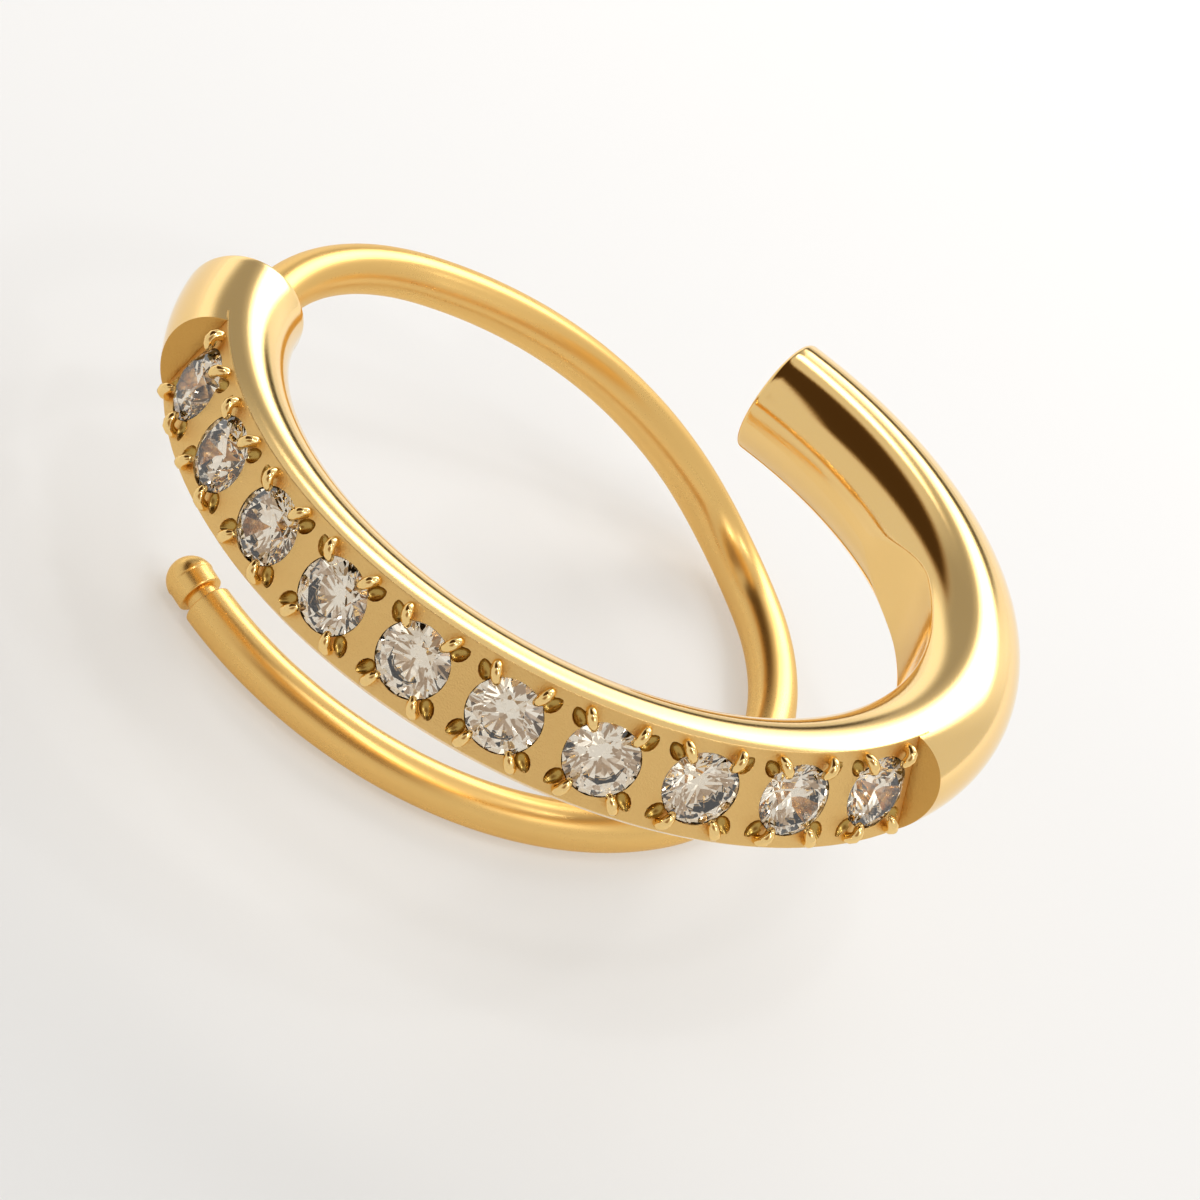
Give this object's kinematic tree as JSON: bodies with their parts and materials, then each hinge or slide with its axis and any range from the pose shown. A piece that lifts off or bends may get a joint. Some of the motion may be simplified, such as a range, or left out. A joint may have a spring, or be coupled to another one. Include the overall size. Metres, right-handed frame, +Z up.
{
  "type": "huggie earring",
  "caption": "Gold-coloured C-shaped hoop earring of round bar, with a row of clear stones let into its outer side and a curled ear wire with a ball tip.",
  "frame": {"origin": "middle of the earring's box, on the surface that it stands on", "axes": "+Z up from the surface that the curl of the ear wire stands on, -Y towards the front, where the row of stones shows"},
  "size_m": [0.016, 0.0154, 0.0077],
  "materials": {
    "bar_gold": "polished and gold-plated, with a faint satin grain",
    "wire_gold": "polished and gold-plated wire",
    "clear_stone": "clear faceted brilliant"
  },
  "bodies": {
    "root": {"hoop": "bar_gold", "ear_wire": "wire_gold", "stone_01": "clear_stone", "stone_02": "clear_stone", "stone_03": "clear_stone", "stone_04": "clear_stone", "stone_05": "clear_stone", "stone_06": "clear_stone", "stone_07": "clear_stone", "stone_08": "clear_stone", "stone_09": "clear_stone", "stone_10": "clear_stone"}
  },
  "joints": []
}
